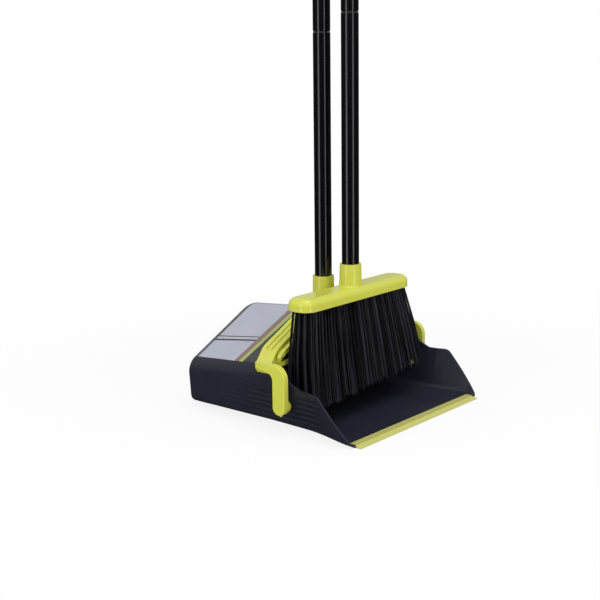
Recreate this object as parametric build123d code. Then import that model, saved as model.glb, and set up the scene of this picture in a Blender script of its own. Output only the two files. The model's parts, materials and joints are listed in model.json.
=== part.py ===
"""Upright broom and hooded dustpan set: the broom stands in the pan, clipped to the pan's handle."""
import os
from math import cos, radians, sin

from build123d import *

# Layout, in millimetres: +Z is up, the pan's mouth faces -Y, the floor is Z = 0
PAN_DEPTH = 284.0
PAN_HANDLE_Y = 14.0
BROOM_Y = -30.0
PIVOT_Y = -35.0
PIVOT_Z = 35.5

# Pan: one thin moulding whose cross-section changes from the rear wall to the mouth
PAN_WALL = 2.6
PAN_FRONT_SETBACK = 6.0
REST_TRIM = 0.5
UNDERSIDE_HALF_WIDTH = 100.0
UNDERSIDE_MARGIN = 10.0
REAR_CHINE_HALF_WIDTH = 124.0
MIDDLE_CHINE_HALF_WIDTH = 127.0
MOUTH_CHINE_HALF_WIDTH = 138.0
REAR_CHINE_HEIGHT = 10.0
MIDDLE_CHINE_HEIGHT = 9.0
FLARE_CHINE_HEIGHT = 6.4
MOUTH_CHINE_HEIGHT = 1.5
REAR_EAVE_HALF_WIDTH = 128.0
MIDDLE_EAVE_HALF_WIDTH = 143.0
REAR_EAVE_HEIGHT = 60.0
MIDDLE_EAVE_HEIGHT = 75.5
REAR_RIDGE_HEIGHT = 122.0
MIDDLE_RIDGE_HEIGHT = 131.0
FLARE_START_Y = -60.0
FLARE_STEPS = 6
MOUTH_FLARE = 22.0
CHINE_RADIUS = 9.0
EAVE_RADIUS = 22.0
RIDGE_RADIUS = 40.0
LEAST_RADIUS = 0.6
REAR_RIM_RADIUS = 7.0
REAR_RIM_STEPS = 3
ROOF_FRONT_Y = 2.0
CHEEK_CREST_Y = -16.0
CHEEK_CREST_Z = 76.0
CHEEK_DIP_Y = -60.0
CHEEK_HUMP_Y = -87.0
CHEEK_TOP_Z = 57.0
CHEEK_DIP_RADIUS = 16.0
CHEEK_HUMP_RADIUS = 11.0
RIB_GROOVES = 5
RIB_GROOVE_DEPTH = 0.25
RIB_GROOVE_WIDTH = 2.2
RIB_GROOVE_PITCH = 7.0
RIB_GROOVE_TOP_Z = 46.0
RIB_GROOVE_FRONT_Y = -92.0
RIB_GROOVE_REAR_Y = -36.0

# Lip strip on the mouth's edge, and the printed film on the roof
LIP_END_MARGIN = 8.0
LIP_WIDTH = 17.0
LIP_HEIGHT = 3.6
LIP_STEP = 1.0
LIP_LEDGE = 1.2
LIP_NOSE = 0.8
FILM_THICKNESS = 0.35
FILM_BOND = 0.05
FILM_REAR_MARGIN = 7.0
FILM_FRONT_MARGIN = 3.0
FILM_EAVE_MARGIN = 13.2

# Yoke: two arms beside the pan, struts over its roof and a socket for the pan's handle
ARM_GAP = 1.5
ARM_THICKNESS = 7.5
ARM_WIDTH = 19.0
ARM_TOP_Z = 87.5
ARM_REAR_Y = 0.5
ARM_END_HEIGHT = 7.0
ARM_KNEE_HEIGHT = 12.5
ARM_SHOULDER_RADIUS = 17.0
ARM_HOLLOW_RADIUS = 9.0
ARM_EDGE_RADIUS = 1.2
ARM_NUB_WIDTH = 7.0
ARM_NUB_DROP = 2.5
PIVOT_RADIUS = 5.0
PIVOT_BOSS_RADIUS = 8.0
PIVOT_BOSS_LENGTH = 6.5
PIVOT_REACH = 18.0
PIVOT_CLEARANCE = 0.06
STRUT_WIDTH = 23.5
STRUT_THICKNESS = 14.0
STRUT_RISE = 57.0
STRUT_KNEE_INSET = 26.5
STRUT_KNEE_SWEEP = 16.5
STRUT_SWEEP = 27.5
STRUT_KNEE_RADIUS = 40.0
STRUT_ROOF_CLEARANCE = 0.8
STRUT_GROOVE_WIDTH = 2.6
STRUT_GROOVE_DEPTH = 1.6
STRUT_GROOVE_INSET = 22.5
BRACE_GAP = 2.0
BRACE_WIDTH = 6.0
BRACE_DROP = 4.0
BRACE_THICKNESS = 6.0
BRACE_FOOT_INSET = 16.5
TIE_BAR_Z = 78.0
TIE_BAR_HEIGHT = 5.0
RIB_THICKNESS = 5.0
RIB_ROOF_GAP = 2.0
YOKE_SOCKET_TOP = 170.0
YOKE_SOCKET_BOTTOM = 134.0
YOKE_SOCKET_RADIUS = 13.7
YOKE_SOCKET_DRAFT = 0.5

# Handles: thin steel tubes in lengths, screwed together through plastic collars
TUBE_RADIUS = 11.0
TUBE_WALL = 0.5
TUBE_FIT = 0.05
TUBE_SEAT = 12.0
CRIMP_DEPTH = 0.6
CRIMP_WIDTH = 4.0
CRIMP_BELOW_COLLAR = 42.0
COLLAR_RADIUS = 13.5
COLLAR_HEIGHT = 21.0
COLLAR_SEAT = 9.0
COLLAR_SHANK = 60.0
COLLAR_EDGE_RADIUS = 0.8
STUD_RADIUS = 7.5
STUD_LENGTH = 20.0
STUD_SHANK = 36.0
STUD_FIT = 0.1
PAN_COLLAR_Z = 521.0
BROOM_LOWER_COLLAR_Z = 544.0
BROOM_UPPER_COLLAR_Z = 914.0

# Hand grip on the pan's handle, with the clip that holds the broom's handle
GRIP_Z = 932.0
GRIP_BASE_RADIUS = 13.5
GRIP_TIP_RADIUS = 7.5
GRIP_REACH = 116.0
GRIP_BACK = 15.0
GRIP_EDGE_RADIUS = 2.0
GRIP_SOCKET_RADIUS = 13.3
GRIP_SOCKET_BOTTOM = 883.0
GRIP_SOCKET_SEAT = 34.0
CLIP_HEIGHT = 20.0
CLIP_WALL = 2.8
CLIP_CLEARANCE = 0.3
CLIP_MOUTH = 17.0
CLIP_ARM_WIDTH = 9.0

# Broom head and bristles
HEAD_LENGTH = 222.0
HEAD_WIDTH = 39.0
HEAD_BOTTOM_Z = 146.0
HEAD_HEIGHT = 15.5
HEAD_CROWN_RADIUS = 9.0
HEAD_END_RADIUS = 16.0
HEAD_SOCKET_TOP = 190.0
HEAD_SOCKET_TOP_RADIUS = 13.5
HEAD_SOCKET_BASE_RADIUS = 15.0
HEAD_SOCKET_BLEND = 3.0
TUFT_PLATE_LENGTH = 214.0
TUFT_PLATE_WIDTH = 31.0
TUFT_PLATE_RADIUS = 8.0
TUFT_PLATE_THICKNESS = 5.0
TUFT_PLATE_FIT = 0.2
STRAND_COLUMNS = 50
STRAND_ROWS = 7
STRAND_SIZE = 1.9
STRAND_EMBED = 1.0
BRISTLE_ROOT_LENGTH = 206.0
BRISTLE_ROOT_DEPTH = 25.0
BRISTLE_TIP_LENGTH = 248.0
BRISTLE_TIP_FRONT = 34.0
BRISTLE_END_FRONT = 25.0
BRISTLE_TIP_REAR = 14.0
BRISTLE_END_REAR = 10.0
BRISTLE_TIP_Z = 30.0

# Broom hand grip and end cap
SLEEVE_BOTTOM_Z = 1191.0
SLEEVE_LENGTH = 128.0
SLEEVE_RADIUS = 14.0
SLEEVE_EDGE_RADIUS = 1.5
CAP_HEIGHT = 40.0
CAP_RADIUS = 11.6
CAP_PLUG = 20.0

# Places that follow from the sizes above
REAR_Y = PAN_DEPTH / 2
LIP_FRONT_Y = -PAN_DEPTH / 2
PAN_FRONT_Y = LIP_FRONT_Y + PAN_FRONT_SETBACK
ARM_INNER_X = MIDDLE_EAVE_HALF_WIDTH + ARM_GAP
ARM_OUTER_X = ARM_INNER_X + ARM_THICKNESS
STRUT_KNEE_X = ARM_INNER_X - STRUT_KNEE_INSET
STRUT_GROOVE_END_X = ARM_INNER_X - STRUT_GROOVE_INSET
BRACE_FOOT_X = ARM_INNER_X - BRACE_FOOT_INSET
LIP_LENGTH = 2 * (MOUTH_CHINE_HALF_WIDTH - LIP_END_MARGIN)
TUBE_BORE = TUBE_RADIUS - TUBE_WALL
SHANK_RADIUS = TUBE_BORE - TUBE_FIT
YOKE_TUBE_BOTTOM = YOKE_SOCKET_TOP - TUBE_SEAT
HEAD_TUBE_BOTTOM = HEAD_SOCKET_TOP - TUBE_SEAT
SLEEVE_TOP_Z = SLEEVE_BOTTOM_Z + SLEEVE_LENGTH
CLEAR_OF_ALL = 2 * PAN_DEPTH


def box_between(low, high):
    """A block from its lowest corner to its highest one."""
    size = [high[i] - low[i] for i in range(3)]
    middle = [(high[i] + low[i]) / 2 for i in range(3)]
    return Pos(*middle) * Box(*size)


def rod(radius, bottom, top, y):
    """An upright round bar on the handle axis at y."""
    return Pos(0, y, (bottom + top) / 2) * Cylinder(radius, top - bottom)


def crossbar(radius, low_x, high_x):
    """A round bar along X on the pan's pivot axis."""
    along = Pos((low_x + high_x) / 2, PIVOT_Y, PIVOT_Z) * Rot(0, 90, 0)
    return along * Cylinder(radius, high_x - low_x)


def corner(face, x, y):
    """The vertex of a flat outline that lies nearest to (x, y)."""
    return face.vertices().sort_by_distance((x, y, 0))[0]


def side_prism(outline, low_x, high_x):
    """A prism along X between two x values, from an outline drawn in (y, z)."""
    return extrude(Plane.YZ.offset(low_x) * outline, amount=high_x - low_x)


def front_prism(outline, low_y, high_y):
    """A prism along Y between two y values, from an outline drawn in (x, z)."""
    return extrude(Plane.XZ.offset(-low_y) * outline, amount=low_y - high_y)


# Pan

def pan_stations():
    """The pan's cross-sections: y, then half-width and height of chine and eave, and ridge height."""
    roof = (MIDDLE_EAVE_HEIGHT, MIDDLE_RIDGE_HEIGHT)
    stations = [
        (REAR_Y - REAR_RIM_RADIUS, REAR_CHINE_HALF_WIDTH, REAR_CHINE_HEIGHT, REAR_EAVE_HALF_WIDTH,
         REAR_EAVE_HEIGHT, REAR_RIDGE_HEIGHT),
        (0.0, MIDDLE_CHINE_HALF_WIDTH, MIDDLE_CHINE_HEIGHT, MIDDLE_EAVE_HALF_WIDTH, *roof),
    ]
    for step in range(FLARE_STEPS + 1):
        run = step / FLARE_STEPS
        swell = run ** 2 * (3 - 2 * run)
        y = FLARE_START_Y + run * (PAN_FRONT_Y - FLARE_START_Y)
        chine_x = MIDDLE_CHINE_HALF_WIDTH + swell * (MOUTH_CHINE_HALF_WIDTH - MIDDLE_CHINE_HALF_WIDTH)
        chine_z = FLARE_CHINE_HEIGHT + run * (MOUTH_CHINE_HEIGHT - FLARE_CHINE_HEIGHT)
        stations.append((y, chine_x, chine_z, MIDDLE_EAVE_HALF_WIDTH + swell * MOUTH_FLARE, *roof))
    stations.append((LIP_FRONT_Y - LIP_WIDTH, *stations[-1][1:]))
    return stations


def pan_section(station, inset):
    """One cross-section of the pan, drawn in by inset, with its chines, eaves and ridge rounded."""
    y, chine_x, chine_z, eave_x, eave_z, ridge_z = station
    flat_x = min(UNDERSIDE_HALF_WIDTH, chine_x - UNDERSIDE_MARGIN)
    half = [(flat_x, -REST_TRIM), (chine_x, chine_z), (eave_x, eave_z), (0.0, ridge_z)]
    mirrored = [(-x, z) for x, z in reversed(half[:-1])]
    face = make_face(Polyline(*half, *mirrored, close=True))
    if inset:
        face = offset(face, -inset, kind=Kind.INTERSECTION)
    for low, high, radius in ((2, 4, CHINE_RADIUS), (6, 8, EAVE_RADIUS), (10, 11, RIDGE_RADIUS)):
        corners = face.vertices().sort_by(Axis.Y)[low:high]
        face = fillet(corners, max(radius - inset, LEAST_RADIUS))
    return Plane((0, y, 0), x_dir=(1, 0, 0), z_dir=(0, -1, 0)) * face


def pan_hull(inset):
    """The pan's closed outer form, drawn in by inset on every side, with a rounded rear rim."""
    stations = pan_stations()
    length = loft([pan_section(station, inset) for station in stations], ruled=True)
    rim_radius = REAR_RIM_RADIUS - inset
    rim = []
    for step in range(REAR_RIM_STEPS + 1):
        turn = radians(90 * step / REAR_RIM_STEPS)
        y = REAR_Y - REAR_RIM_RADIUS + rim_radius * sin(turn)
        rim.append(pan_section((y, *stations[0][1:]), inset + rim_radius * (1 - cos(turn))))
    return length + loft(rim)


def cheek_cut():
    """What is cut away above the pan's open front: the roof, and the cheeks down to their top edge."""
    high = MIDDLE_RIDGE_HEIGHT + EAVE_RADIUS
    outline = make_face(Polyline(
        (ROOF_FRONT_Y, high), (ROOF_FRONT_Y, CHEEK_CREST_Z), (CHEEK_CREST_Y, CHEEK_CREST_Z),
        (CHEEK_DIP_Y, CHEEK_TOP_Z), (CHEEK_HUMP_Y, CHEEK_TOP_Z), (PAN_FRONT_Y, LIP_LEDGE),
        (PAN_FRONT_Y - LIP_WIDTH, LIP_LEDGE), (PAN_FRONT_Y - LIP_WIDTH, high), close=True))
    outline = fillet(corner(outline, CHEEK_CREST_Y, CHEEK_CREST_Z), CHEEK_DIP_RADIUS)
    outline = fillet(corner(outline, CHEEK_DIP_Y, CHEEK_TOP_Z), CHEEK_DIP_RADIUS)
    outline = fillet(corner(outline, CHEEK_HUMP_Y, CHEEK_TOP_Z), CHEEK_HUMP_RADIUS)
    return side_prism(outline, -CLEAR_OF_ALL, CLEAR_OF_ALL)


def lip_recess():
    """The ledge along the mouth where the lip strip lies."""
    half = LIP_LENGTH / 2
    rear = LIP_FRONT_Y + LIP_WIDTH
    return box_between((-half, LIP_FRONT_Y - LIP_WIDTH, LIP_LEDGE), (half, rear, CHEEK_TOP_Z))


def rib_grooves(hull):
    """Shallow mould lines along both outer walls."""
    skin = hull - pan_hull(RIB_GROOVE_DEPTH)
    slabs = []
    for index in range(RIB_GROOVES):
        z = RIB_GROOVE_TOP_Z - index * RIB_GROOVE_PITCH
        low = (-CLEAR_OF_ALL, RIB_GROOVE_FRONT_Y, z - RIB_GROOVE_WIDTH / 2)
        high = (CLEAR_OF_ALL, RIB_GROOVE_REAR_Y, z + RIB_GROOVE_WIDTH / 2)
        slabs.append(box_between(low, high))
    return skin & slabs[0].fuse(*slabs[1:])


def pan_hopper(hull):
    """The dark moulded pan: floor, walls and roof in one shell, open at the mouth."""
    below = box_between((-CLEAR_OF_ALL, -CLEAR_OF_ALL, -CLEAR_OF_ALL), (CLEAR_OF_ALL, CLEAR_OF_ALL, 0))
    ahead = box_between((-CLEAR_OF_ALL, -CLEAR_OF_ALL, -CLEAR_OF_ALL),
                        (CLEAR_OF_ALL, PAN_FRONT_Y, CLEAR_OF_ALL))
    pan = hull - below - ahead - cheek_cut() - pan_hull(PAN_WALL) - lip_recess()
    pan -= crossbar(PIVOT_RADIUS + PIVOT_CLEARANCE, -ARM_OUTER_X, ARM_OUTER_X)
    return pan - rib_grooves(hull)


def pan_lip():
    """The soft strip that closes the gap between the mouth and the floor."""
    rear = LIP_FRONT_Y + LIP_WIDTH
    step_y = (LIP_FRONT_Y + rear) / 2
    outline = make_face(Polyline(
        (LIP_FRONT_Y, 0), (PAN_FRONT_Y, 0), (PAN_FRONT_Y, LIP_LEDGE), (rear, LIP_LEDGE),
        (rear, LIP_HEIGHT), (step_y, LIP_HEIGHT), (step_y, LIP_HEIGHT - LIP_STEP),
        (LIP_FRONT_Y, LIP_NOSE), close=True))
    return side_prism(outline, -LIP_LENGTH / 2, LIP_LENGTH / 2)


def pan_label():
    """The printed film that covers both slopes of the roof, a thin layer of glue above it."""
    front = ROOF_FRONT_Y + FILM_FRONT_MARGIN
    rear = REAR_Y - FILM_REAR_MARGIN
    front_x = MIDDLE_EAVE_HALF_WIDTH - FILM_EAVE_MARGIN
    rear_x = REAR_EAVE_HALF_WIDTH - FILM_EAVE_MARGIN
    plan = make_face(Polyline((front_x, front), (rear_x, rear), (-rear_x, rear), (-front_x, front),
                              close=True))
    above = extrude(Pos(0, 0, REAR_EAVE_HEIGHT) * plan, amount=MIDDLE_RIDGE_HEIGHT)
    return (pan_hull(-FILM_BOND - FILM_THICKNESS) - pan_hull(-FILM_BOND)) & above


# Yoke

def yoke_arm(side):
    """One arm: a crank-shaped blade beside the pan, with the boss that turns in the pan's wall."""
    front = PIVOT_Y - ARM_WIDTH / 2
    rear = PIVOT_Y + ARM_WIDTH / 2
    knee_z = ARM_TOP_Z - ARM_KNEE_HEIGHT
    blade = make_face(Polyline(
        (ARM_REAR_Y, ARM_TOP_Z), (front, ARM_TOP_Z), (front, PIVOT_Z), (rear, PIVOT_Z), (rear, knee_z),
        (ARM_REAR_Y, ARM_TOP_Z - ARM_END_HEIGHT), close=True))
    blade = fillet(corner(blade, front, ARM_TOP_Z), ARM_SHOULDER_RADIUS)
    blade = fillet(corner(blade, rear, knee_z), ARM_HOLLOW_RADIUS)
    blade += Pos(PIVOT_Y, PIVOT_Z) * Circle(ARM_WIDTH / 2)
    low, high = sorted((side * ARM_INNER_X, side * ARM_OUTER_X))
    arm = side_prism(blade, low, high)
    arm = fillet(arm.faces().sort_by(Axis.X)[-1 if side > 0 else 0].edges(), ARM_EDGE_RADIUS)
    boss_end = side * (ARM_INNER_X - PIVOT_BOSS_LENGTH)
    pin_end = side * (ARM_INNER_X - PIVOT_REACH)
    root = side * (ARM_INNER_X + ARM_THICKNESS / 2)
    foot_z = PIVOT_Z - ARM_WIDTH / 2
    nub = make_face(Polyline(
        (PIVOT_Y - ARM_NUB_WIDTH / 2, foot_z + ARM_NUB_DROP), (PIVOT_Y, foot_z - ARM_NUB_DROP),
        (PIVOT_Y + ARM_NUB_WIDTH / 2, foot_z + ARM_NUB_DROP), close=True))
    arm += side_prism(nub, *sorted((side * ARM_INNER_X, root)))
    arm += crossbar(PIVOT_BOSS_RADIUS, min(boss_end, root), max(boss_end, root))
    return arm + crossbar(PIVOT_RADIUS, min(pin_end, root), max(pin_end, root))


def swept_edge(offset_y, end_x):
    """Points of a line that runs offset_y ahead of the struts' rear edge, from end_x to the middle."""
    outer_run = (ARM_OUTER_X - end_x) / (ARM_OUTER_X - STRUT_KNEE_X)
    base_y = ARM_REAR_Y - offset_y
    return [(end_x, base_y + STRUT_KNEE_SWEEP * outer_run), (STRUT_KNEE_X, base_y + STRUT_KNEE_SWEEP),
            (0, base_y + STRUT_SWEEP)]


def beam_plan(front_offset, rear_offset, end_x, knee_radius=0.0):
    """A swept-back beam outline seen from above, between two offsets from the struts' rear edge."""
    rear = swept_edge(rear_offset, end_x)
    front = swept_edge(front_offset, end_x)
    right = make_face(Polyline(*rear, *reversed(front), close=True))
    if knee_radius:
        right = fillet(corner(right, *rear[1]), knee_radius)
        right = fillet(corner(right, *front[1]), knee_radius)
    return right + mirror(right, about=Plane.YZ)


def beam(plan, drop, thickness):
    """A beam over the roof: a plan outline, kept between two lines that rise to the middle."""
    top = ARM_TOP_Z - drop
    half = [(0, top + STRUT_RISE), (ARM_INNER_X, top), (ARM_OUTER_X, top),
            (ARM_OUTER_X, top - ARM_END_HEIGHT), (ARM_INNER_X, top - thickness),
            (0, top + STRUT_RISE - thickness)]
    right = make_face(Polyline(*half, close=True))
    upright = front_prism(right + mirror(right, about=Plane.YZ), -CLEAR_OF_ALL, CLEAR_OF_ALL)
    return extrude(plan, amount=CLEAR_OF_ALL) & upright


def strut_grooves():
    """The two long grooves in the top face of each strut."""
    grooves = []
    for share in (1 / 3, 2 / 3):
        offset_y = share * STRUT_WIDTH
        plan = beam_plan(offset_y + STRUT_GROOVE_WIDTH / 2, offset_y - STRUT_GROOVE_WIDTH / 2,
                         STRUT_GROOVE_END_X)
        grooves.append(beam(plan, -STRUT_GROOVE_DEPTH, 2 * STRUT_GROOVE_DEPTH))
    return grooves


def brace_frame():
    """The narrow front brace below the struts, with its feet, the tie bar and the middle rib."""
    front = STRUT_WIDTH + BRACE_GAP
    brace = beam(beam_plan(front + BRACE_WIDTH, front, BRACE_FOOT_X), BRACE_DROP, BRACE_THICKNESS)
    foot_rear = ARM_REAR_Y + STRUT_KNEE_SWEEP - front
    foot_front = foot_rear - BRACE_WIDTH
    tie_top = TIE_BAR_Z + TIE_BAR_HEIGHT
    frame = brace + box_between((-BRACE_FOOT_X, foot_front, TIE_BAR_Z), (BRACE_FOOT_X, foot_rear, tie_top))
    for side in (-1, 1):
        low, high = sorted((side * BRACE_FOOT_X, side * (BRACE_FOOT_X - BRACE_WIDTH)))
        frame += box_between((low, foot_front, TIE_BAR_Z), (high, foot_rear, ARM_TOP_Z))
    half = RIB_THICKNESS / 2
    rib_top = ARM_TOP_Z + STRUT_RISE - BRACE_DROP
    return frame + box_between((-half, foot_front, TIE_BAR_Z), (half, ROOF_FRONT_Y - RIB_ROOF_GAP, rib_top))


def yoke():
    """The lime moulding that carries the pan's handle and turns on the pan."""
    roof = pan_hull(-STRUT_ROOF_CLEARANCE)
    struts = beam(beam_plan(STRUT_WIDTH, 0, ARM_OUTER_X, STRUT_KNEE_RADIUS), 0, STRUT_THICKNESS)
    for groove in strut_grooves():
        struts -= groove
    frame = (struts - roof) + brace_frame()
    for side in (-1, 1):
        frame += yoke_arm(side)
    socket = Pos(0, PAN_HANDLE_Y, (YOKE_SOCKET_BOTTOM + YOKE_SOCKET_TOP) / 2) * Cone(
        YOKE_SOCKET_RADIUS + YOKE_SOCKET_DRAFT, YOKE_SOCKET_RADIUS, YOKE_SOCKET_TOP - YOKE_SOCKET_BOTTOM)
    frame += socket - roof
    stud_bottom = YOKE_TUBE_BOTTOM - STUD_LENGTH
    frame -= rod(TUBE_RADIUS + TUBE_FIT, YOKE_TUBE_BOTTOM, YOKE_SOCKET_TOP, PAN_HANDLE_Y)
    return frame - rod(STUD_RADIUS + STUD_FIT, stud_bottom, YOKE_TUBE_BOTTOM, PAN_HANDLE_Y)


# Handles

def tube(bottom, top, y, crimp_z=None):
    """A thin-walled tube, pinched inwards all round at crimp_z to hold the collar's shank."""
    pipe = rod(TUBE_RADIUS, bottom, top, y) - rod(TUBE_BORE, bottom, top, y)
    if crimp_z is None:
        return pipe
    half = CRIMP_WIDTH / 2
    ring = make_face(Polyline(
        (TUBE_RADIUS, crimp_z - half), (TUBE_RADIUS, crimp_z + half),
        (TUBE_RADIUS - CRIMP_DEPTH, crimp_z), close=True))
    bead = make_face(Polyline(
        (TUBE_BORE, crimp_z - half), (TUBE_BORE, crimp_z + half),
        (TUBE_BORE - CRIMP_DEPTH, crimp_z), close=True))
    pipe += Pos(0, y, 0) * revolve(Plane.XZ * bead, Axis.Z)
    return pipe - Pos(0, y, 0) * revolve(Plane.XZ * ring, Axis.Z)


def collar(bottom, y):
    """A coupling: a ring over the joint, with a threaded shank inside the lower tube."""
    top = bottom + COLLAR_HEIGHT
    seat = bottom + COLLAR_SEAT
    ring = rod(COLLAR_RADIUS, bottom, top, y)
    ring = fillet(ring.edges().filter_by(GeomType.CIRCLE), COLLAR_EDGE_RADIUS)
    ring -= rod(TUBE_RADIUS + TUBE_FIT, bottom, seat, y)
    ring -= rod(TUBE_RADIUS + TUBE_FIT, top - COLLAR_SEAT, top, y)
    crimp_z = bottom - CRIMP_BELOW_COLLAR
    ring += rod(SHANK_RADIUS, seat - COLLAR_SHANK, seat, y)
    ring -= rod(STUD_RADIUS + STUD_FIT, seat - COLLAR_SHANK, top, y)
    waist = rod(SHANK_RADIUS, crimp_z - CRIMP_WIDTH, crimp_z + CRIMP_WIDTH, y)
    return ring - (waist - rod(SHANK_RADIUS - CRIMP_DEPTH, crimp_z - CRIMP_WIDTH, crimp_z + CRIMP_WIDTH, y))


def stud(shoulder_z, y):
    """A screw plug: its shank is pressed up into a tube, its stud screws down into a socket."""
    return rod(SHANK_RADIUS, shoulder_z, shoulder_z + STUD_SHANK, y) + rod(
        STUD_RADIUS, shoulder_z - STUD_LENGTH, shoulder_z, y)


def collar_tube_top(collar_z):
    """Where the tube below a collar ends."""
    return collar_z + COLLAR_SEAT


def collar_tube_bottom(collar_z):
    """Where the tube above a collar starts."""
    return collar_z + COLLAR_HEIGHT - COLLAR_SEAT


def hand_grip():
    """The side grip on top of the pan's handle, its socket and the clip for the broom."""
    tip_y = PAN_HANDLE_Y + GRIP_REACH
    back_y = PAN_HANDLE_Y - GRIP_BACK
    taper = Cone(GRIP_BASE_RADIUS, GRIP_TIP_RADIUS, tip_y - back_y)
    bar = Pos(0, (tip_y + back_y) / 2, GRIP_Z) * Rot(-90, 0, 0) * taper
    ends = bar.edges().filter_by(GeomType.CIRCLE).sort_by(Axis.Y)
    bar = fillet(ends[-1], GRIP_TIP_RADIUS - LEAST_RADIUS)
    bar = fillet(bar.edges().filter_by(GeomType.CIRCLE).sort_by(Axis.Y)[0], GRIP_EDGE_RADIUS)
    grip = bar + rod(GRIP_SOCKET_RADIUS, GRIP_SOCKET_BOTTOM, GRIP_Z, PAN_HANDLE_Y)
    ring_radius = TUBE_RADIUS + CLIP_CLEARANCE
    clip_top = GRIP_SOCKET_BOTTOM + CLIP_HEIGHT
    grip += rod(ring_radius + CLIP_WALL, GRIP_SOCKET_BOTTOM, clip_top, BROOM_Y)
    grip += box_between((-CLIP_ARM_WIDTH / 2, BROOM_Y, GRIP_SOCKET_BOTTOM),
                        (CLIP_ARM_WIDTH / 2, PAN_HANDLE_Y, clip_top))
    grip -= rod(ring_radius, GRIP_SOCKET_BOTTOM, clip_top, BROOM_Y)
    grip -= box_between((-CLIP_MOUTH / 2, BROOM_Y - 2 * TUBE_RADIUS, GRIP_SOCKET_BOTTOM),
                        (CLIP_MOUTH / 2, BROOM_Y, clip_top))
    seat_top = GRIP_SOCKET_BOTTOM + GRIP_SOCKET_SEAT
    return grip - rod(TUBE_RADIUS + TUBE_FIT, GRIP_SOCKET_BOTTOM, seat_top, PAN_HANDLE_Y)


# Broom

def tuft_plate_plan(margin):
    """The tuft plate's outline in the head's underside, widened by margin."""
    return Pos(0, BROOM_Y, HEAD_BOTTOM_Z) * RectangleRounded(
        TUFT_PLATE_LENGTH + 2 * margin, TUFT_PLATE_WIDTH + 2 * margin, TUFT_PLATE_RADIUS + margin)


def broom_head():
    """The lime block that holds the bristles, with the socket for the broom's handle."""
    plan = Pos(0, BROOM_Y, HEAD_BOTTOM_Z) * RectangleRounded(HEAD_LENGTH, HEAD_WIDTH, HEAD_END_RADIUS)
    block = extrude(plan, amount=HEAD_HEIGHT)
    block = fillet(block.faces().sort_by(Axis.Z)[-1].edges(), HEAD_CROWN_RADIUS)
    base = HEAD_BOTTOM_Z + TUFT_PLATE_THICKNESS + TUFT_PLATE_FIT
    block += Pos(0, BROOM_Y, (base + HEAD_SOCKET_TOP) / 2) * Cone(
        HEAD_SOCKET_BASE_RADIUS, HEAD_SOCKET_TOP_RADIUS, HEAD_SOCKET_TOP - base)
    socket = block.faces().filter_by(GeomType.CONE)[0]
    joint = [edge for edge in socket.edges() if edge.bounding_box().max.Z < HEAD_SOCKET_TOP - LEAST_RADIUS]
    block = fillet(joint, HEAD_SOCKET_BLEND)
    block -= extrude(tuft_plate_plan(TUFT_PLATE_FIT), amount=TUFT_PLATE_THICKNESS)
    block -= rod(TUBE_RADIUS + TUBE_FIT, HEAD_TUBE_BOTTOM, HEAD_SOCKET_TOP, BROOM_Y)
    return block - rod(STUD_RADIUS + STUD_FIT, HEAD_TUBE_BOTTOM - STUD_LENGTH, HEAD_TUBE_BOTTOM, BROOM_Y)


def strand(column, row):
    """One bristle: a straight four-sided strand from its root in the plate to its tip."""
    across = 2 * column / (STRAND_COLUMNS - 1) - 1
    along = row / (STRAND_ROWS - 1)
    root_x = across * BRISTLE_ROOT_LENGTH / 2
    root_y = BROOM_Y + (along - 0.5) * BRISTLE_ROOT_DEPTH
    front = BRISTLE_TIP_FRONT + (BRISTLE_END_FRONT - BRISTLE_TIP_FRONT) * across ** 2
    rear = BRISTLE_TIP_REAR + (BRISTLE_END_REAR - BRISTLE_TIP_REAR) * across ** 2
    tip_x = across * BRISTLE_TIP_LENGTH / 2
    tip_y = BROOM_Y - front + along * (front + rear)
    root = Vector(root_x, root_y, HEAD_BOTTOM_Z + STRAND_EMBED)
    run = Vector(tip_x, tip_y, BRISTLE_TIP_Z) - root
    section = Pos(root.X, root.Y, root.Z) * Rectangle(STRAND_SIZE, STRAND_SIZE)
    return extrude(section, amount=run.length, dir=run.normalized())


def broom_bristles():
    """The tuft plate in the head's underside and the strands that are set in it."""
    plate = extrude(tuft_plate_plan(0), amount=TUFT_PLATE_THICKNESS)
    strands = [strand(column, row) for column in range(STRAND_COLUMNS) for row in range(STRAND_ROWS)]
    return plate.fuse(*strands)


def grip_sleeve():
    """The lime sleeve at the top of the broom's handle."""
    sleeve = rod(SLEEVE_RADIUS, SLEEVE_BOTTOM_Z, SLEEVE_TOP_Z, BROOM_Y)
    sleeve = fillet(sleeve.edges().filter_by(GeomType.CIRCLE), SLEEVE_EDGE_RADIUS)
    return sleeve - rod(TUBE_RADIUS + TUBE_FIT, SLEEVE_BOTTOM_Z, SLEEVE_TOP_Z, BROOM_Y)


def end_cap():
    """The dark domed cap that plugs the top of the broom's handle."""
    top = SLEEVE_TOP_Z + CAP_HEIGHT
    cap = rod(CAP_RADIUS, SLEEVE_TOP_Z, top, BROOM_Y)
    cap = fillet(cap.edges().filter_by(GeomType.CIRCLE).sort_by(Axis.Z)[-1], CAP_RADIUS - LEAST_RADIUS)
    return cap + rod(SHANK_RADIUS, SLEEVE_TOP_Z - CAP_PLUG, SLEEVE_TOP_Z, BROOM_Y)


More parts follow.
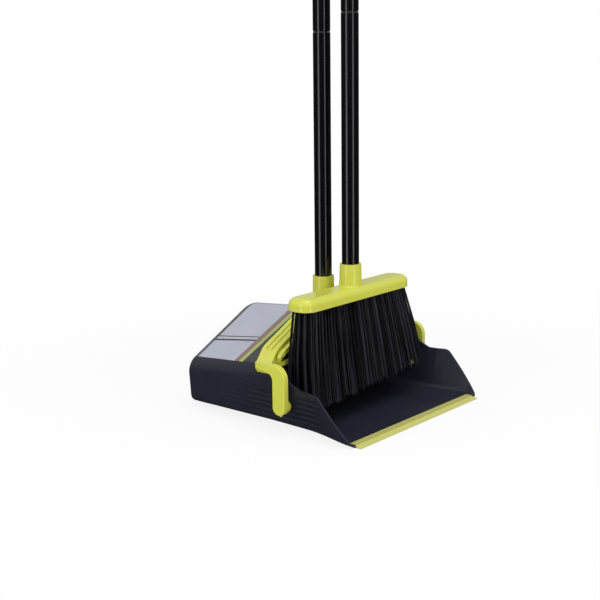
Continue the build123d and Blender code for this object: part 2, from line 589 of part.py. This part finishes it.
def build():
    """Every piece of the set, by name."""
    hull = pan_hull(0)
    grip_tube_top = GRIP_SOCKET_BOTTOM + GRIP_SOCKET_SEAT
    lower, upper = BROOM_LOWER_COLLAR_Z, BROOM_UPPER_COLLAR_Z
    middle_bottom = collar_tube_bottom(lower)
    upper_bottom = collar_tube_bottom(upper)
    pan_upper_bottom = collar_tube_bottom(PAN_COLLAR_Z)
    return {
        "pan_hopper": pan_hopper(hull),
        "pan_lip": pan_lip(),
        "pan_label": pan_label(),
        "yoke": yoke(),
        "pan_screw_plug": stud(YOKE_TUBE_BOTTOM, PAN_HANDLE_Y),
        "pan_tube_lower": tube(YOKE_TUBE_BOTTOM, collar_tube_top(PAN_COLLAR_Z), PAN_HANDLE_Y,
                               PAN_COLLAR_Z - CRIMP_BELOW_COLLAR),
        "pan_collar": collar(PAN_COLLAR_Z, PAN_HANDLE_Y),
        "pan_joint_stud": stud(pan_upper_bottom, PAN_HANDLE_Y),
        "pan_tube_upper": tube(pan_upper_bottom, grip_tube_top, PAN_HANDLE_Y),
        "pan_hand_grip": hand_grip(),
        "broom_head": broom_head(),
        "broom_bristles": broom_bristles(),
        "broom_screw_plug": stud(HEAD_TUBE_BOTTOM, BROOM_Y),
        "broom_tube_lower": tube(HEAD_TUBE_BOTTOM, collar_tube_top(lower), BROOM_Y,
                                 lower - CRIMP_BELOW_COLLAR),
        "broom_lower_collar": collar(lower, BROOM_Y),
        "broom_lower_stud": stud(middle_bottom, BROOM_Y),
        "broom_tube_middle": tube(middle_bottom, collar_tube_top(upper), BROOM_Y,
                                  upper - CRIMP_BELOW_COLLAR),
        "broom_upper_collar": collar(upper, BROOM_Y),
        "broom_upper_stud": stud(upper_bottom, BROOM_Y),
        "broom_tube_upper": tube(upper_bottom, SLEEVE_TOP_Z, BROOM_Y),
        "broom_grip_sleeve": grip_sleeve(),
        "broom_end_cap": end_cap(),
    }


os.makedirs("parts", exist_ok=True)
for name, piece in build().items():
    export_step(piece, f"parts/{name}.step")
    print(name, len(piece.solids()), round(piece.volume))
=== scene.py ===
# %% [markdown]
# # An upright broom standing in its hooded dustpan
#
# The measured model is loaded first and stays fixed. This script dresses it: a camera, a pale studio,
# a finish for every piece, and real bristles in place of the simple strands.

# %% Load the measured model
import json
import random
from math import tau

import bmesh
import bpy
from mathutils import Matrix, Vector


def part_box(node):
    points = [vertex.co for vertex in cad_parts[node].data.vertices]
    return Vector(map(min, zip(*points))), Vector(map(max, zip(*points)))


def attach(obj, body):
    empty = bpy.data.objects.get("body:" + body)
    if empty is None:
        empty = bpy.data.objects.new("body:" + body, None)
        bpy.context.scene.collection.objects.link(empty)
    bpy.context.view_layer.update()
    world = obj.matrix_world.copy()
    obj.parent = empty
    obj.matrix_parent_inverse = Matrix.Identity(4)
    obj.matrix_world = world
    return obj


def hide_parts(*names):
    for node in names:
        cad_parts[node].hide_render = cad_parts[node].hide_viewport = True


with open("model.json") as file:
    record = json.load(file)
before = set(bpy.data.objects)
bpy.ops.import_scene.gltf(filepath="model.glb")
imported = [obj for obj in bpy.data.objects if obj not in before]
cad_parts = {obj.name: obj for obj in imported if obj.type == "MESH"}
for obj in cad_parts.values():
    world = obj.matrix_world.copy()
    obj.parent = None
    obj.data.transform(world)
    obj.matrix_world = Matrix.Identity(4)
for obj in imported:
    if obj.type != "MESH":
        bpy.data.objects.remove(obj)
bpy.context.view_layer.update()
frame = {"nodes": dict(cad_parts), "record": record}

nodes = frame["nodes"]
scene = bpy.context.scene
scene.view_settings.view_transform = "Standard"

# %% [markdown]
# ## The camera
#
# The photograph was taken from the front left, a little above the broom's head. Its place, direction and
# lens were found by matching corners of the pan, yoke and head to where they appear. A direction and an up
# vector are enough to build the camera's matrix, and there is no lens shift, so other views stay framed.

# %% Camera
CAMERA_PLACE = Vector((-1.22681, -0.95052, 0.46411))
CAMERA_FORWARD = Vector((0.75737, 0.61995, -0.20505))
CAMERA_UP = Vector((0.16601, 0.12089, 0.97869))
CAMERA_LENS_MM = 73.376
SENSOR_MM = 36.0

camera_data = bpy.data.cameras.new("photo_camera")
camera_data.sensor_width = SENSOR_MM
camera_data.lens = CAMERA_LENS_MM
camera = bpy.data.objects.new("photo_camera", camera_data)
scene.collection.objects.link(camera)
camera_axes = Matrix((CAMERA_FORWARD.cross(CAMERA_UP), CAMERA_UP, -CAMERA_FORWARD)).transposed()
camera.matrix_world = Matrix.Translation(CAMERA_PLACE) @ camera_axes.to_4x4()
scene.camera = camera
print("camera lens in mm:", camera_data.lens)

# %% [markdown]
# ## Three small helpers for materials
#
# Colours are easiest to judge as sRGB hex values, but shader nodes work in linear light, so one function
# converts them. A second one adds a node, sets its values and makes its links, which keeps each finish
# short. A third one starts a material. The Mix node has a set of sockets for each kind of data, under the
# same names, so its colour sockets are picked by number.

# %% Material helpers
def linear(hex_colour):
    """Linear RGBA from an sRGB hex colour."""
    channels = [int(hex_colour[i:i + 2], 16) / 255 for i in (1, 3, 5)]
    return tuple(c / 12.92 if c <= 0.04045 else ((c + 0.055) / 1.055) ** 2.4 for c in channels) + (1.0,)


def add_node(tree, kind, values=None, links=None, **settings):
    """A node with its settings, its socket values and its incoming links."""
    node = tree.nodes.new(kind)
    for name, setting in settings.items():
        setattr(node, name, setting)
    for socket, value in (values or {}).items():
        node.inputs[socket].default_value = value
    for socket, source in (links or {}).items():
        tree.links.new(source, node.inputs[socket])
    return node


def new_finish(name, **values):
    """An empty material with one principled shader, ready for its pattern."""
    material = bpy.data.materials.new(name)
    material.use_nodes = True
    shader = material.node_tree.nodes["Principled BSDF"]
    for socket, value in values.items():
        shader.inputs[socket.replace("_", " ")].default_value = value
    return material, material.node_tree, shader


MIX_A, MIX_B, MIX_COLOUR = 6, 7, 2
MM = 0.001
print("sRGB mid grey in linear light:", round(linear("#808080")[0], 3))

# %% [markdown]
# ## The studio
#
# The set stands on a pale sheet that turns into plain white further out and ends in a white world, so no
# horizon shows. Close to the object a part of the sheet stays an ordinary matt surface, so it keeps the
# shadow. Only the camera sees the white, so it adds no light to the object. The sheet is left out of
# reflections, because the tubes would mirror it all over.

# %% Floor
FLOOR_HALF_SIZE = 1.0
NEAR_WHITE = 0.86
FADE_START = 0.3
FADE_END = 0.9

bm = bmesh.new()
bmesh.ops.create_grid(bm, x_segments=1, y_segments=1, size=FLOOR_HALF_SIZE)
floor_mesh = bpy.data.meshes.new("studio_floor")
bm.to_mesh(floor_mesh)
bm.free()
floor = bpy.data.objects.new("studio_floor", floor_mesh)
floor.visible_glossy = False
scene.collection.objects.link(floor)
print("floor made,", FLOOR_HALF_SIZE * 2, "m wide")

# %% Floor paper
floor_paper, tree, shader = new_finish("matt_white_studio_paper", Roughness=0.9)
shader.inputs["Base Color"].default_value = linear("#f6f6f7")
place = add_node(tree, "ShaderNodeTexCoord").outputs["Object"]
distance = add_node(tree, "ShaderNodeVectorMath", links={0: place}, operation="LENGTH").outputs["Value"]
fade_range = {"From Min": FADE_START, "From Max": FADE_END, "To Min": NEAR_WHITE, "To Max": 1.0}
fade = add_node(tree, "ShaderNodeMapRange", fade_range, {"Value": distance},
                interpolation_type="SMOOTHSTEP").outputs["Result"]
rays = add_node(tree, "ShaderNodeLightPath").outputs
share = add_node(tree, "ShaderNodeMath", links={0: fade, 1: rays["Is Camera Ray"]},
                 operation="MULTIPLY").outputs[0]
glow = add_node(tree, "ShaderNodeEmission", {"Strength": 1.0}).outputs[0]
blend = add_node(tree, "ShaderNodeMixShader", links={0: share, 1: shader.outputs[0], 2: glow})
tree.links.new(blend.outputs[0], tree.nodes["Material Output"].inputs["Surface"])
floor_mesh.materials.append(floor_paper)
print("made", floor_paper.name)

# %% [markdown]
# ## The room
#
# The camera sees a white world, and a soft even glow from all round lights the set. Reflections see a room
# of their own: pale overhead, which gives the tops of the head and the tray their sheen, and dark at eye
# level and below, so that the glossy tubes stay black. In a world, Generated coordinates are the direction
# in which a ray leaves, so their Z tells how steeply it climbs.

# %% World
AMBIENT = 0.5
DARK_WALL = 0.04
PALE_CEILING = 0.6
WALL_TOP = 0.08
CEILING_EDGE = 0.22

world = bpy.data.worlds.new("studio_world")
scene.world = world
world.use_nodes = True
tree = world.node_tree
background = tree.nodes["Background"]
rays = add_node(tree, "ShaderNodeLightPath").outputs
direction = add_node(tree, "ShaderNodeTexCoord").outputs["Generated"]
climb = add_node(tree, "ShaderNodeSeparateXYZ", links={0: direction}).outputs["Z"]
room_range = {"From Min": WALL_TOP, "From Max": CEILING_EDGE, "To Min": DARK_WALL, "To Max": PALE_CEILING}
mirrored = add_node(tree, "ShaderNodeMapRange", room_range, {"Value": climb},
                    interpolation_type="SMOOTHSTEP").outputs["Result"]
unseen = add_node(tree, "ShaderNodeMapRange", {"To Min": AMBIENT},
                  {"Value": rays["Is Glossy Ray"], "To Max": mirrored}).outputs["Result"]
strength = add_node(tree, "ShaderNodeMapRange", {"To Max": 1.0},
                    {"Value": rays["Is Camera Ray"], "To Min": unseen}).outputs["Result"]
background.inputs["Color"].default_value = (1, 1, 1, 1)
tree.links.new(strength, background.inputs["Strength"])
print("made", world.name)

# %% [markdown]
# ## Lamps
#
# A large soft lamp hangs overhead. Glossy black tubes show little but reflections, so two tall lamps stand
# at the left and in front, where each draws one long bright line on every tube.

# %% Lamps
def softbox(name, place, aim, width, height, watts):
    """A rectangular area lamp that faces a point."""
    lamp = bpy.data.lights.new(name, "AREA")
    lamp.shape = "RECTANGLE"
    lamp.size = width
    lamp.size_y = height
    lamp.energy = watts
    lamp_object = bpy.data.objects.new(name, lamp)
    lamp_object.visible_camera = False
    scene.collection.objects.link(lamp_object)
    turn = (Vector(aim) - Vector(place)).to_track_quat("-Z", "Y")
    lamp_object.matrix_world = Matrix.Translation(place) @ turn.to_matrix().to_4x4()


softbox("top_softbox", place=(-0.3, -0.5, 2.6), aim=(0, 0, 0.1), width=2.0, height=2.0, watts=33)
softbox("left_lamp", place=(-1.48, 0.23, 0.4), aim=(0, 0, 0.4), width=0.5, height=2.2, watts=7.5)
softbox("front_lamp", place=(-0.32, -1.47, 0.4), aim=(0, 0, 0.4), width=0.4, height=2.2, watts=6)

# %% [markdown]
# ## Lime polypropylene
#
# The yoke, head, collars, grips and sleeve are injection-moulded polypropylene: a bright yellow-green with
# a semi-gloss skin. Moulded skins are never perfectly even, so a broad noise shifts the colour a little and
# a fine one gives the faint grain of the mould. The grain is drawn coarser than life so that it shows.

# %% Lime polypropylene
POLYPROPYLENE_IOR = 1.49
FLOW_MM = 45.0
GRAIN_MM = 1.5
GRAIN_STRENGTH = 0.25
GLOSS_DRIFT = 0.06


def moulded(name, dark, light, roughness, grain_depth_mm, shine=0.5):
    """Moulded plastic: a slight drift of colour and a fine grain on the skin."""
    material, tree, shader = new_finish(name, IOR=POLYPROPYLENE_IOR, Specular_IOR_Level=shine)
    place = add_node(tree, "ShaderNodeTexCoord").outputs["Object"]
    flow = add_node(tree, "ShaderNodeTexNoise", {"Scale": 1 / (FLOW_MM * MM), "Detail": 3.0},
                    {"Vector": place}).outputs["Fac"]
    colour = add_node(tree, "ShaderNodeMix", {MIX_A: linear(dark), MIX_B: linear(light)}, {0: flow},
                      data_type="RGBA").outputs[MIX_COLOUR]
    tree.links.new(colour, shader.inputs["Base Color"])
    grain = add_node(tree, "ShaderNodeTexNoise", {"Scale": 1 / (GRAIN_MM * MM), "Detail": 2.0},
                     {"Vector": place}).outputs["Fac"]
    gloss_range = {"To Min": roughness - GLOSS_DRIFT, "To Max": roughness + GLOSS_DRIFT}
    gloss = add_node(tree, "ShaderNodeMapRange", gloss_range, {"Value": grain}).outputs["Result"]
    tree.links.new(gloss, shader.inputs["Roughness"])
    bump = add_node(tree, "ShaderNodeBump", {"Strength": GRAIN_STRENGTH, "Distance": grain_depth_mm * MM},
                    {"Height": grain}).outputs["Normal"]
    tree.links.new(bump, shader.inputs["Normal"])
    return material


lime_polypropylene = moulded("lime_polypropylene", "#ced14c", "#d8db58", roughness=0.18,
                             grain_depth_mm=0.03)
print("made", lime_polypropylene.name)

# %% [markdown]
# ## Charcoal and black polypropylene
#
# The pan is the same plastic in a blue-black charcoal with a satin skin that catches broad, soft
# reflections. The cap and the hidden screw plugs are plain black.

# %% Charcoal and black polypropylene
charcoal_polypropylene = moulded("charcoal_polypropylene", "#232330", "#2b2b38", roughness=0.33,
                                 grain_depth_mm=0.08, shine=0.2)
black_polypropylene = moulded("black_polypropylene", "#121214", "#18181b", roughness=0.45,
                              grain_depth_mm=0.05, shine=0.3)
print("made", charcoal_polypropylene.name, "and", black_polypropylene.name)

# %% [markdown]
# ## Mould lines on the cheeks
#
# Five shallow lines run along the outside of each cheek. The measured ones are a quarter of a millimetre
# deep, too fine to catch the light from here, so a second bump draws them deeper than life. They show where
# three things hold: the face is an outer one, where place and normal point the same way, it lies between
# the mouth and the rear, where the lines fade out, and it is at the height of the row.

# %% Where the mould lines show
LINE_PITCH_MM = 7.0
LINE_TOP_MM = 46.0
LINE_COUNT = 5
OUTWARD_MM = 50
MOUTH_FADE_MM = (-100, -75)
REAR_FADE_MM = (-30, 100)

tree = charcoal_polypropylene.node_tree
place = add_node(tree, "ShaderNodeTexCoord").outputs["Object"]
axes = add_node(tree, "ShaderNodeSeparateXYZ", links={0: place}).outputs
normal = add_node(tree, "ShaderNodeNewGeometry").outputs["Normal"]
outward = add_node(tree, "ShaderNodeVectorMath", links={0: place, 1: normal},
                   operation="DOT_PRODUCT").outputs["Value"]
outer = add_node(tree, "ShaderNodeMath", {1: OUTWARD_MM * MM}, {0: outward},
                 operation="GREATER_THAN").outputs[0]
mouth_range = {"From Min": MOUTH_FADE_MM[0] * MM, "From Max": MOUTH_FADE_MM[1] * MM}
behind_mouth = add_node(tree, "ShaderNodeMapRange", mouth_range,
                        {"Value": axes["Y"], "To Max": outer}).outputs["Result"]
rear_range = {"From Min": REAR_FADE_MM[0] * MM, "From Max": REAR_FADE_MM[1] * MM, "To Max": 0.0}
along = add_node(tree, "ShaderNodeMapRange", rear_range,
                 {"Value": axes["Y"], "To Min": behind_mouth}).outputs["Result"]
row_middle = (LINE_TOP_MM - LINE_PITCH_MM * (LINE_COUNT - 1) / 2) * MM
row_half = LINE_PITCH_MM * LINE_COUNT / 2 * MM
row = add_node(tree, "ShaderNodeMath", {1: row_middle, 2: row_half}, {0: axes["Z"]},
               operation="COMPARE").outputs[0]
shown = add_node(tree, "ShaderNodeMath", links={0: along, 1: row}, operation="MULTIPLY").outputs[0]
print("middle of the row of lines at z =", round(row_middle, 4))

# %% [markdown]
# A cosine of the height rises and falls once for each line. Its bump is laid over the grain's, so the lines
# keep the skin of the plastic.

# %% Mould lines
LINE_DEPTH_MM = 0.9

shader = tree.nodes["Principled BSDF"]
grain_normal = shader.inputs["Normal"].links[0].from_socket
turn = tau / (LINE_PITCH_MM * MM)
phase = add_node(tree, "ShaderNodeMath", {1: turn, 2: -turn * LINE_TOP_MM * MM}, {0: axes["Z"]},
                 operation="MULTIPLY_ADD").outputs[0]
lines = add_node(tree, "ShaderNodeMath", links={0: phase}, operation="COSINE").outputs[0]
bump = add_node(tree, "ShaderNodeBump", {"Distance": LINE_DEPTH_MM * MM},
                {"Strength": shown, "Height": lines, "Normal": grain_normal}, invert=True)
tree.links.new(bump.outputs["Normal"], shader.inputs["Normal"])
print("mould lines:", LINE_COUNT, "on each cheek")

# %% [markdown]
# ## Black painted steel
#
# The handles are thin steel tubes with a smooth gloss coat. A coat that flows before it sets is slightly
# wavy, which bends the long reflections a little, so a soft noise drives a very shallow bump.

# %% Black painted steel
PEEL_MM = 6.0
PEEL_STRENGTH = 0.1
PEEL_DEPTH_MM = 0.03

painted_steel, tree, shader = new_finish("black_painted_steel", Roughness=0.16, Specular_IOR_Level=0.6)
place = add_node(tree, "ShaderNodeTexCoord").outputs["Object"]
peel = add_node(tree, "ShaderNodeTexNoise", {"Scale": 1 / (PEEL_MM * MM), "Detail": 1.0},
                {"Vector": place}).outputs["Fac"]
tone = add_node(tree, "ShaderNodeMix", {MIX_A: linear("#030305"), MIX_B: linear("#08070c")}, {0: peel},
                data_type="RGBA").outputs[MIX_COLOUR]
tree.links.new(tone, shader.inputs["Base Color"])
bump = add_node(tree, "ShaderNodeBump", {"Strength": PEEL_STRENGTH, "Distance": PEEL_DEPTH_MM * MM},
                {"Height": peel}).outputs["Normal"]
tree.links.new(bump, shader.inputs["Normal"])
print("made", painted_steel.name)

# %% [markdown]
# ## The soft lip
#
# The strip on the mouth is a soft thermoplastic rubber in two bands: an olive-lime one at the rear and a
# paler one that slopes to the floor. The two bands meet at the step, which runs across the pan, so the
# distance along Y picks the colour. A faint haze of bumps takes the edge off its shine.

# %% Lime soft rubber
HAZE_STRENGTH = 0.2
HAZE_DEPTH_MM = 0.05

low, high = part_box("pan_lip")
lip_step_y = (low[1] + high[1]) / 2
soft_rubber, tree, shader = new_finish("lime_soft_rubber", Roughness=0.5)
place = add_node(tree, "ShaderNodeTexCoord").outputs["Object"]
along = add_node(tree, "ShaderNodeSeparateXYZ", links={0: place}).outputs["Y"]
rear = add_node(tree, "ShaderNodeMath", {1: lip_step_y}, {0: along}, operation="GREATER_THAN").outputs[0]
bands = add_node(tree, "ShaderNodeMix", {MIX_A: linear("#cccb72"), MIX_B: linear("#bab966")}, {0: rear},
                 data_type="RGBA").outputs[MIX_COLOUR]
tree.links.new(bands, shader.inputs["Base Color"])
haze = add_node(tree, "ShaderNodeTexNoise", {"Scale": 1 / (GRAIN_MM * MM), "Detail": 2.0},
                {"Vector": place}).outputs["Fac"]
bump = add_node(tree, "ShaderNodeBump", {"Strength": HAZE_STRENGTH, "Distance": HAZE_DEPTH_MM * MM},
                {"Height": haze}).outputs["Normal"]
tree.links.new(bump, shader.inputs["Normal"])
print("lip bands meet at y =", round(lip_step_y, 4))

# %% [markdown]
# ## The printed film
#
# A glossy printed film covers both slopes of the roof. It carries a plain striped design: a pale ground, a
# dark line along its rear edge, a pair of fine stripes down each slope, and dark, lime and brown bands
# near the yoke. Each stripe is a range of one coordinate, so one short function paints them all.

# %% Printed film
printed_film, tree, shader = new_finish("printed_film", Roughness=0.28)
place = add_node(tree, "ShaderNodeTexCoord").outputs["Object"]
axes = add_node(tree, "ShaderNodeSeparateXYZ", links={0: place}).outputs
across = add_node(tree, "ShaderNodeMath", links={0: axes["X"]}, operation="ABSOLUTE").outputs[0]


def stripe(under, coordinate, middle_mm, width_mm, hex_colour):
    """The colour so far, with one stripe painted over it."""
    inside = add_node(tree, "ShaderNodeMath", {1: middle_mm * MM, 2: width_mm * MM / 2}, {0: coordinate},
                      operation="COMPARE").outputs[0]
    return add_node(tree, "ShaderNodeMix", {MIX_B: linear(hex_colour)}, {0: inside, MIX_A: under},
                    data_type="RGBA").outputs[MIX_COLOUR]


mottle = add_node(tree, "ShaderNodeTexNoise", {"Scale": 1 / (FLOW_MM * MM), "Detail": 2.0},
                  {"Vector": place}).outputs["Fac"]
paint = add_node(tree, "ShaderNodeMix", {MIX_A: linear("#a5a9b8"), MIX_B: linear("#b7bbc9")}, {0: mottle},
                 data_type="RGBA").outputs[MIX_COLOUR]
paint = stripe(paint, across, 82.0, 3.0, "#202026")
paint = stripe(paint, across, 75.0, 1.6, "#202026")
paint = stripe(paint, axes["Y"], 25.0, 40.0, "#222228")
paint = stripe(paint, axes["Y"], 48.0, 5.0, "#9fb22b")
paint = stripe(paint, axes["Y"], 56.0, 9.0, "#83695d")
paint = stripe(paint, axes["Y"], 133.0, 3.0, "#1c1c22")
tree.links.new(paint, shader.inputs["Base Color"])
print("made", printed_film.name)

# %% [markdown]
# ## Dressing the measured pieces
#
# Every measured piece that shows keeps its shape and takes the finish of what it is made of. Only the
# simple strands get none, because the bristles below take their place.

# %% Give each measured piece its finish
FINISHES = {
    "charcoal_plastic": charcoal_polypropylene,
    "lime_plastic": lime_polypropylene,
    "lime_rubber": soft_rubber,
    "printed_film": printed_film,
    "black_tube": painted_steel,
    "black_plastic": black_polypropylene,
}
dressed = [subpart for subpart in frame["record"]["subparts"] if subpart["material_slot"] in FINISHES]
for subpart in dressed:
    piece = nodes[subpart["node"]]
    for slot in piece.material_slots:
        slot.material = FINISHES[subpart["material_slot"]]
print("dressed", len(dressed), "of", len(nodes), "pieces")

# %% [markdown]
# ## Bristle filament
#
# The bristles are drawn from black plastic. Each one catches the light a little differently, which is what
# makes a broom look like many hairs and not like one block. So every filament carries a random glint value
# of its own, stored on its mesh, and the finish turns it into a painted highlight. Most stay near black,
# and only a few turn grey.

# %% Bristle filament
BLACK_BELOW = 0.4
GREY_ABOVE = 0.95

bristle_filament, tree, shader = new_finish("black_bristle_filament", Roughness=0.4, Specular_IOR_Level=0.3)
own_glint = add_node(tree, "ShaderNodeAttribute", attribute_name="glint").outputs["Fac"]
highlight_amount = add_node(tree, "ShaderNodeMapRange", {"From Min": BLACK_BELOW, "From Max": GREY_ABOVE},
                {"Value": own_glint}).outputs["Result"]
# Painted highlight: the grey filaments stand in for light caught by the glossy black strands.
tone = add_node(tree, "ShaderNodeMix", {MIX_A: linear("#060609"), MIX_B: linear("#494855")}, {0: highlight_amount},
                data_type="RGBA").outputs[MIX_COLOUR]
tree.links.new(tone, shader.inputs["Base Color"])
print("made", bristle_filament.name)

# %% [markdown]
# ## Tufts
#
# A broom head is drilled in rows, and each hole holds a tuft of filaments folded in half, which end in a
# ragged cut. Making each filament of the broom by itself would be slow, so a few different tufts are made
# once, a unit long. A filament is a thin three-sided cone, cut once half-way so that it can bow later.

# %% Tufts
SEED = 7
TUFT_KINDS = 8
FILAMENTS = 28
FILAMENT_RADIUS = 0.0004
TIP_TAPER = 0.7
TUFT_ROOT_RADIUS = 0.0017
TUFT_TIP_RADIUS = 0.0025
RAGGED = 0.05
LONG_EDGE = 0.5
draw = random.Random(SEED)


def spot_in_disc(radius):
    """A random spot in a disc."""
    while True:
        spot = Vector((draw.uniform(-1, 1), draw.uniform(-1, 1), 0))
        if spot.length <= 1:
            return spot * radius


def tuft_mesh(name):
    """One tuft: three-sided filaments from z = 0 down to about z = -1, each with its own painted glint."""
    bm = bmesh.new()
    glint = bm.verts.layers.float.new("glint")
    for _ in range(FILAMENTS):
        root = spot_in_disc(TUFT_ROOT_RADIUS)
        tip = spot_in_disc(TUFT_TIP_RADIUS) + Vector((0, 0, draw.uniform(RAGGED, 0) - 1))
        lean = Matrix.Identity(4)
        lean.col[2] = (*(root - tip), 0)
        lean.col[3] = (*((root + tip) / 2), 1)
        filament = bmesh.ops.create_cone(bm, cap_ends=True, segments=3, radius1=FILAMENT_RADIUS * TIP_TAPER,
                                         radius2=FILAMENT_RADIUS, depth=1, matrix=lean)
        # Painted highlight: a random glint value per filament sets how grey it is painted.
        filament_glint = draw.random()
        for vert in filament["verts"]:
            vert[glint] = filament_glint
    long_edges = [edge for edge in bm.edges if edge.calc_length() > LONG_EDGE]
    bmesh.ops.subdivide_edges(bm, edges=long_edges, cuts=1)
    mesh = bpy.data.meshes.new(name)
    bm.to_mesh(mesh)
    bm.free()
    return mesh


tufts = [tuft_mesh(f"tuft_{kind}") for kind in range(TUFT_KINDS)]
print("tuft faces:", len(tufts[0].polygons))

# %% [markdown]
# ## Rows of tufts
#
# Each hole of the head gets a copy of one tuft, drawn out along its own line. Neighbouring rows are
# staggered by half a step. The tufts fan out along the head and lean forwards, with the rear ones drawn in
# at the ends. The line of the tips slopes down to the left, as in the photograph, and rounds up at both
# ends.

# %% Where the tufts stand
COLUMNS = 36
ROWS = 6
ROOT_Z = 0.147
BROOM_Y = -0.030
ROOT_HALF_LENGTH = 0.1005
ROOT_HALF_DEPTH = 0.0115
TIP_HALF_LENGTH = 0.1204
TIP_FRONT_Y = -0.0611
TIP_REAR_Y = -0.0195
END_REAR_Y = -0.0235
TIP_DROP_LEFT = 0.007
TIP_RISE_RIGHT = 0.008
TIP_RISE_ENDS = 0.006
ENDS_POWER = 8
low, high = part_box("broom_bristles")


def tuft_line(column, row):
    """Where a tuft stands along the head, from -1 to 1, with its root and its tip."""
    half_steps = 2 * column + (row + 1) % 2
    last_half_step = 2 * COLUMNS - 1
    across = 2 * half_steps / last_half_step - 1
    back = row / (ROWS - 1)
    root_y = BROOM_Y + (2 * back - 1) * ROOT_HALF_DEPTH
    rear_y = TIP_REAR_Y + (END_REAR_Y - TIP_REAR_Y) * across ** 2
    tip_y = TIP_FRONT_Y + back * (rear_y - TIP_FRONT_Y)
    right = (across + 1) / 2
    tip_z = low[2] - TIP_DROP_LEFT + right * (TIP_DROP_LEFT + TIP_RISE_RIGHT)
    tip_z += TIP_RISE_ENDS * across ** ENDS_POWER
    root = Vector((across * ROOT_HALF_LENGTH, root_y, ROOT_Z))
    return across, root, Vector((across * TIP_HALF_LENGTH, tip_y, tip_z))


print("tufts:", COLUMNS * ROWS)

# %% [markdown]
# No two tufts are alike: each is cut a little shorter or longer, strays a little at its tip and has a
# painted glint of its own, mixed with those of its filaments. Each bows outwards on the way, most at the
# middle, which is what the parabola of the bow says.

# %% Draw the tufts out
SHORTEST = 0.96
SPREAD = 0.0012
BOW = 0.0025
FILAMENT_SHARE = 0.6

bm = bmesh.new()
glint = bm.verts.layers.float.new("glint")
for column in range(COLUMNS):
    for row in range(ROWS):
        across, root, tip = tuft_line(column, row)
        tip = root.lerp(tip, draw.uniform(SHORTEST, 1)) + spot_in_disc(SPREAD)
        first = len(bm.verts)
        bm.from_mesh(draw.choice(tufts))
        bm.verts.ensure_lookup_table()
        # Painted highlight: one glint value per tuft, mixed into those of its filaments.
        tuft_glint = draw.random()
        for vert in bm.verts[first:]:
            vert[glint] = FILAMENT_SHARE * vert[glint] + (1 - FILAMENT_SHARE) * tuft_glint
            down = -vert.co.z
            bow = Vector((across * BOW * 4 * down * (1 - down), 0, 0))
            vert.co = Vector((vert.co.x, vert.co.y, 0)) + root.lerp(tip, down) + bow
print("filament faces:", len(bm.faces))

# %% [markdown]
# ## The tuft plate
#
# The tufts are set in a flat plate with round corners, which sits in the underside of the head. It is a box
# whose four upright edges are bevelled. It joins the filaments in one piece that moves with the broom and
# takes the place of the simple strands.

# %% Tuft plate
PLATE_HALF_LENGTH = 0.107
PLATE_HALF_WIDTH = 0.0155
PLATE_CORNER = 0.008
ROOT_EMBED = 0.001

plate_size = Vector((2 * PLATE_HALF_LENGTH, 2 * PLATE_HALF_WIDTH, high[2] - ROOT_Z + ROOT_EMBED))
plate_place = Matrix.Translation((0, BROOM_Y, high[2] - plate_size.z / 2))
plate = bmesh.ops.create_cube(bm, size=1, matrix=plate_place @ Matrix.Diagonal(plate_size.to_4d()))
plate_edges = {edge for vert in plate["verts"] for edge in vert.link_edges}
uprights = [edge for edge in plate_edges
            if abs(edge.verts[0].co.z - edge.verts[1].co.z) > plate_size.z / 2]
bmesh.ops.bevel(bm, geom=uprights, offset=PLATE_CORNER, affect="EDGES", segments=8, profile=0.5,
                material=-1)
print("plate size in metres:", [round(v, 4) for v in plate_size])

# %% Bristles
bristle_mesh = bpy.data.meshes.new("bristles")
bm.to_mesh(bristle_mesh)
bm.free()
bristle_mesh.materials.append(bristle_filament)
bristles = bpy.data.objects.new("bristles", bristle_mesh)
scene.collection.objects.link(bristles)
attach(bristles, "broom")
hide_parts("broom_bristles")
print("bristle faces:", len(bristle_mesh.polygons))
